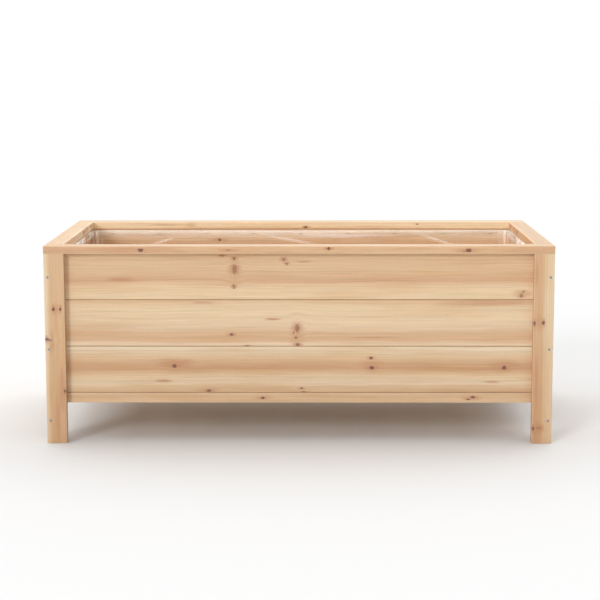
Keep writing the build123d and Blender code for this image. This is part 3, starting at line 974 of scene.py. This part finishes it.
# %% [markdown]
# ## The film liner
#
# The box is lined with one sheet of clear film, 1.73 by 1.16 m, laid in and folded at the corners like the
# inside of a parcel. Its top edge is turned over into a hem and stapled to the boards. A cloth simulation
# could settle it, but film hardly stretches and keeps the creases of its packing, which a simulation loses.
# So it is modelled as a box of film with a hem, cut fine enough to wrinkle, and then creased.

# %% Helpers for edit mode
import bmesh


def choose(piece, kind, test):
    """In edit mode, selects only the faces or edges for which the test is true."""
    bpy.ops.mesh.select_mode(type={"faces": "FACE", "edges": "EDGE"}[kind])
    bpy.ops.mesh.select_all(action="DESELECT")
    shape = bmesh.from_edit_mesh(piece.data)
    chosen = [part for part in getattr(shape, kind) if test(part)]
    for part in chosen:
        part.select_set(True)
    bmesh.update_edit_mesh(piece.data)
    return len(chosen)


def cut_across(axis, places):
    """Cuts the whole mesh with planes square to an axis."""
    square = [float(letter == axis) for letter in "xyz"]
    for place in places:
        bpy.ops.mesh.select_all(action="SELECT")
        bpy.ops.mesh.bisect(plane_co=[place * part for part in square], plane_no=square)


# %% [markdown]
# The box starts as a cube without its lid. The upright edges and those round the floor are rounded, because
# film doesn't go into a corner. Then the rim of the film is pulled inwards and down to make the hem.

# %% A box of film with a hem
film_low, film_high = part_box("liner_film")
FILM_TOP = film_high.z + 2.2 * MM
film_size = Vector((film_high.x - film_low.x, film_high.y - film_low.y, FILM_TOP - film_low.z))
film_middle = Vector((0, 0, film_low.z + film_size.z / 2))
CORNER, FLOOR_ROUND, TURN, HEM = 12 * MM, 6 * MM, 0.7 * MM, 12.5 * MM

bpy.ops.object.select_all(action="DESELECT")
bpy.ops.mesh.primitive_cube_add(size=1, location=film_middle)
film = bpy.context.object
film.name = "liner_sheet"
film.scale = film_size
bpy.ops.object.transform_apply(location=True, rotation=False, scale=True)
bpy.ops.object.mode_set(mode="EDIT")
choose(film, "faces", lambda face: face.normal.z > 0.9)
bpy.ops.mesh.delete(type="ONLY_FACE")
choose(film, "edges", lambda edge: abs(edge.verts[0].co.z - edge.verts[1].co.z) > 0.1)
bpy.ops.mesh.bevel(offset=CORNER, segments=7, affect="EDGES")
choose(
    film,
    "edges",
    lambda edge: all(v.co.z < film_low.z + MM for v in edge.verts) and edge.calc_face_angle(0) > 1,
)
bpy.ops.mesh.bevel(offset=FLOOR_ROUND, segments=3, affect="EDGES")


def pull_rim(inwards, up):
    """Pulls the open edge of the film inwards and up, and leaves a new strip behind it."""
    bpy.ops.mesh.extrude_region_move(TRANSFORM_OT_translate={"value": (0, 0, up)})
    bpy.ops.transform.resize(value=(1 - 2 * inwards / film_size.x, 1 - 2 * inwards / film_size.y, 1))


rim_edges = choose(film, "edges", lambda edge: edge.is_boundary)
pull_rim(TURN / 2, TURN / 2)
pull_rim(TURN, 0)
pull_rim(TURN / 2, -TURN / 2)
for _ in range(4):
    pull_rim(0, -HEM / 4)
print("open edge:", rim_edges, "edges before the cuts")

# %% [markdown]
# A crease needs an edge to lie on, so the sheet is cut into strips: tall ones low down, where the film is
# smoother, and narrow ones near the top edge.

# %% Cut it into strips
cut_across("z", np.concatenate([np.arange(0.150, 0.395, 0.022), np.arange(0.400, FILM_TOP - MM, 0.0035)]))
cut_across("x", np.arange(-77, 78) * 7 * MM)
cut_across("y", np.arange(-37, 38) * 7 * MM)
bpy.ops.object.mode_set(mode="OBJECT")
print("film:", len(film.data.vertices), "points")

# %% [markdown]
# The creases are moves of those points towards the middle of the box. Between two staples the film is slack
# and leans out from the wall. Near each corner the spare film stands in narrow upright pleats. Wide, soft
# waves and a small crackle cover the rest, and a few long creases from the folded pack cross the walls, each
# given by its two ends, in metres along the wall and up. Every sideways move is inwards, so the film never
# enters a board.

# %% Long creases and crackle
half_x, half_y = film_size.x / 2 - CORNER, film_size.y / 2 - CORNER
STAPLE_HEIGHT = 0.434
STAPLE_PITCH = {"long": 0.125, "short": 0.12}
PLEAT_REACH, PLEAT_PITCH = 0.034, 0.0021
HELD_LONG, HELD_HIGH = 0.014, 0.012
WALL_KEYS = {"front": 3.1, "back": 17.7, "left": 31.3, "right": 47.9}
CREASES = {
    "back": [
        ((-0.12, 0.436), (0.06, 0.400)),
        ((-0.40, 0.402), (-0.33, 0.424)),
        ((-0.06, 0.43), (0.30, 0.427)),
        ((0.30, 0.436), (0.42, 0.398)),
        ((-0.55, 0.38), (-0.2, 0.30)),
        ((0.1, 0.33), (0.5, 0.26)),
    ],
    "front": [((-0.3, 0.43), (-0.1, 0.33)), ((0.1, 0.42), (0.4, 0.40)), ((0.0, 0.3), (0.35, 0.2))],
    "left": [((-0.2, 0.43), (0.05, 0.35)), ((0.0, 0.3), (0.2, 0.42))],
    "right": [((-0.15, 0.36), (0.1, 0.43)), ((0.05, 0.25), (0.2, 0.40))],
}


def crackle(x, y, z, key=0.0):
    return noise.noise(Vector((x, y, z + key)))


print(sum(len(lines) for lines in CREASES.values()), "long creases")

# %% [markdown]
# At each point of a wall these moves add up, each with its own share in millimetres. The film is held close
# to the wall round each staple, so all the moves fade there. Where it is bent most sharply it is whitest:
# partly the whitening of folded film, partly a painted glint on the pleats and creases.

# %% Lean and fold
def ridge(t, z, start, end):
    """How near a point of the wall is to a long crease: 1 at its middle, less at its ends, 0 away from it."""
    run = Vector(end) - Vector(start)
    share = min(max((Vector((t, z)) - Vector(start)).dot(run) / run.length_squared, 0), 1)
    gap = (Vector((t, z)) - Vector(start) - run * share).length
    return math.exp(-((gap / (2.6 * MM)) ** 2)) * math.sin(math.pi * min(max(share, 0.06), 0.94))


def lean(wall, t, half, z):
    """How far the film leans in from the wall at t along it, and how white it is there: the whitening of its
    folds, partly a painted glint.
    """
    kind = "long" if wall in ("front", "back") else "short"
    pitch = STAPLE_PITCH[kind]
    key = WALL_KEYS[wall]
    to_corner = half - abs(t)
    pleats = 0.5 + 0.5 * math.sin(to_corner / PLEAT_PITCH + 2 * crackle(t * 9, z * 5, key))
    pleat = math.exp(-to_corner / PLEAT_REACH) * pleats
    staple = (t / pitch + (0.5 if kind == "short" else 0)) % 1.0
    from_staple = min(staple, 1 - staple) * pitch
    held = math.exp(-((from_staple / HELD_LONG) ** 2) - ((z - STAPLE_HEIGHT) / HELD_HIGH) ** 2)
    slack = math.sin(math.pi * staple) ** 2 * (0.6 + crackle(t * 6, key, 0.5))
    wave = max(0.0, 0.5 + crackle(t * 7, z * 9, key, 5)) * min(1.0, (FILM_TOP - z) / 0.05 + 0.15)
    small = abs(crackle(t * 26, z * 30, key, 9))
    creased = sum(ridge(t, z, *line) for line in CREASES[wall])
    move = 1.6 * slack + 3.4 * wave + 0.6 * small + 3.8 * pleat + 1.3 * creased
    fine_folds = max(0.0, 1 - small * 14) * max(0.0, crackle(t * 5, z * 9, key))
    # Whitening of folds, partly a painted glint on pleats and creases.
    fold = 1.1 * pleat * pleat + 0.9 * creased + 0.3 * fine_folds
    return max(0.15, move * (1 - 0.9 * held)) * MM, min(1.0, fold)


# %% [markdown]
# The hem is whiter than the wall below it, as a doubled film is, and its turned edge is whitest, partly a
# painted highlight. It fades downwards, and a line of broken dashes, a painted highlight, runs just below its
# lower edge, where the sheet bends over it. On the short walls the film is bunched as well, and painted
# glints lie on it in small flecks. The mask could be painted by hand, but a formula can be changed later with
# one number.

# %% How white the hem is, with its painted glints
TURNED_EDGE_WHITE_AND_HIGHLIGHT, HEM_REACH = 0.7, 19 * MM
PAINTED_GLINT_FLECKS = {"left": 0.8, "right": 0.55}


def hem_white_and_painted_glints(wall, t, z):
    below = (FILM_TOP - z) / MM
    to_edge = min(abs(below), abs(below - HEM / MM - 4))
    # Painted highlight: broken dashes along the turned edge and along the bend below the hem.
    dashes = 0.14 + 1.5 * max(0.0, crackle(t * 5.5, 4.0, z * 12) + 0.05)
    band = 0.16 + 0.45 * max(0.0, 1 - below / 8) + 0.2 * crackle(t * 5, 4.0, z * 20)
    # Painted glints on the short walls.
    flecks = PAINTED_GLINT_FLECKS[wall] + 2.2 * crackle(t * 16, 9.0, z * 40) if wall in PAINTED_GLINT_FLECKS else 0.0
    return max(band, math.exp(-to_edge / 2.2) * dashes, flecks)


# %% [markdown]
# Now each point is moved. A point well inside the box is on the floor, where the film lies in low blisters on
# the slats. Any other is on a wall or in the hem, and is pushed away from its wall, round corners too.

# %% Crease it
points = np.array([v.co for v in film.data.vertices])
folds = np.zeros(len(points))
for i, (x, y, z) in enumerate(points):
    out = Vector((x - min(max(x, -half_x), half_x), y - min(max(y, -half_y), half_y)))
    if out.length < CORNER - 4.5 * TURN:
        blister = 2.2 * max(0.0, 0.35 + crackle(x * 11, y * 11, 2.0))
        wrinkle = 0.9 * abs(crackle(x * 40, y * 40, 7.0))
        points[i, 2] = z + (blister + wrinkle) * MM
        continue
    if abs(out.y) > abs(out.x):
        wall, t, half = "back" if y > 0 else "front", x, half_x
    else:
        wall, t, half = "right" if x > 0 else "left", y, half_y
    move, folds[i] = lean(wall, t, half, z)
    in_hem = CORNER - out.length > 1.9 * TURN
    if in_hem or z > FILM_TOP - HEM_REACH:
        folds[i] = max(folds[i], hem_white_and_painted_glints(wall, t, z))
    if z > FILM_TOP - MM:
        folds[i] = TURNED_EDGE_WHITE_AND_HIGHLIGHT
    if in_hem:
        points[i, 2] += (FILM_TOP - z) * 0.22 * crackle(t * 9, 1.5, 8.0)
    points[i, 2] += 0.9 * MM * crackle(t * 8, 6.0, 3.0) * min(1.0, max(0.0, (z - 0.40) / 0.03))
    points[i, :2] -= move * out.normalized()
points[:, 2] = points[:, 2].clip(film_low.z, FILM_TOP + 0.5 * MM)
film.data.vertices.foreach_set("co", points.ravel())
whitening_and_glint_mask = film.data.attributes.new("fold", "FLOAT", "POINT")
whitening_and_glint_mask.data.foreach_set("value", folds)
film.data.update()
print("film from", points.min(0).round(4), "to", points.max(0).round(4))
print("folds:", round(float(folds.mean()), 3), "on average")

# %% [markdown]
# The film is 0.15 mm thick, too thin to see edge on, and every extra surface would cost a clear ray another
# step. So it stays one surface, as a cloth does. It rests on the slats, and its staples hold it to the
# boards.

# %% Smooth it and hang it from the root
bpy.ops.object.shade_smooth()
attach(film, "root")
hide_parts("liner_film")
print(film.name, "rests on", len(slats), "slats")

# %% [markdown]
# Clear film shows mostly what is behind it. It whitens where it is folded, since each fold adds surfaces, and
# it mirrors the room, faintly when seen square on and strongly at a low angle. So the shader is a window and
# a milky look, mixed by the fold mask, with a clear gloss over both that grows with the slant. Where the mask
# holds painted glints, the milky look is a painted highlight. The milky look is a haze added to a dimmer
# window, so it sends back more light than reaches it, a painted brightening. A plain mix with white would
# shade the wood behind and turn grey, where real film scatters most of the light onwards.

# %% Film masks
film_look = bpy.data.materials.new("clear_film")
film_look.use_nodes = True
tree = film_look.node_tree
HAZE, ONWARDS = (0.77, 0.88, 0.98, 1), (0.62, 0.62, 0.62, 1)
haze = tree.nodes["Principled BSDF"]
haze.inputs["Base Color"].default_value = HAZE
haze.inputs["Specular IOR Level"].default_value = 0.6
window = tree.nodes.new("ShaderNodeBsdfTransparent")
gloss = tree.nodes.new("ShaderNodeBsdfGlossy")
gloss.inputs["Roughness"].default_value = 0.09
slant = tree.nodes.new("ShaderNodeLayerWeight")
slant.inputs["Blend"].default_value = 0.5
mirror = maths(tree, "MULTIPLY_ADD", maths(tree, "POWER", slant.outputs["Facing"], 4.0), 0.55, 0.035)
fold_read = tree.nodes.new("ShaderNodeAttribute")
fold_read.attribute_name = "fold"
at = vector(tree, "SCALE", tree.nodes.new("ShaderNodeTexCoord").outputs["Object"])
at.node.inputs["Scale"].default_value = 1 / MM
cloudy = lumps(tree, at, (46, 46, 30), 3.0)
crinkle = lumps(tree, at, (11, 11, 6), 2.0, 0.5)
# The fold mask carries the painted glints too.
opacity = maths(tree, "MULTIPLY_ADD", fold_read.outputs["Fac"], 0.62, 0.008)
opacity = maths(tree, "MULTIPLY_ADD", smooth_step(tree, cloudy, 0.45, 0.7), 0.03, opacity)
tree.links.new(smooth_step(tree, crinkle, 0.3, 0.7, 0.18, 0.4), haze.inputs["Roughness"])
print("film masks:", len(tree.nodes), "nodes")

# %% [markdown]
# The layers are joined from the inside out: the haze and its window, then the fold mask's mix with a clear
# window, then the gloss. One crinkle bends them all, so a glint and the haze under it move together.

# %% Film layers
forward = tree.nodes.new("ShaderNodeBsdfTransparent")
forward.inputs["Color"].default_value = ONWARDS
milky = tree.nodes.new("ShaderNodeAddShader")
tree.links.new(forward.outputs[0], milky.inputs[0])
tree.links.new(haze.outputs[0], milky.inputs[1])
through = tree.nodes.new("ShaderNodeMixShader")
wire(tree, opacity, through.inputs[0])
tree.links.new(window.outputs[0], through.inputs[1])
tree.links.new(milky.outputs[0], through.inputs[2])
coated = tree.nodes.new("ShaderNodeMixShader")
wire(tree, mirror, coated.inputs[0])
tree.links.new(through.outputs[0], coated.inputs[1])
tree.links.new(gloss.outputs[0], coated.inputs[2])
bump = tree.nodes.new("ShaderNodeBump")
bump.inputs["Strength"].default_value = 0.5
bump.inputs["Distance"].default_value = 0.25 * MM
tree.links.new(crinkle, bump.inputs["Height"])
for shader in (haze, gloss, slant):
    tree.links.new(bump.outputs["Normal"], shader.inputs["Normal"])
tree.links.new(coated.outputs[0], tree.nodes["Material Output"].inputs["Surface"])
film.data.materials.append(film_look)
print("film:", len(film.data.polygons), "faces")
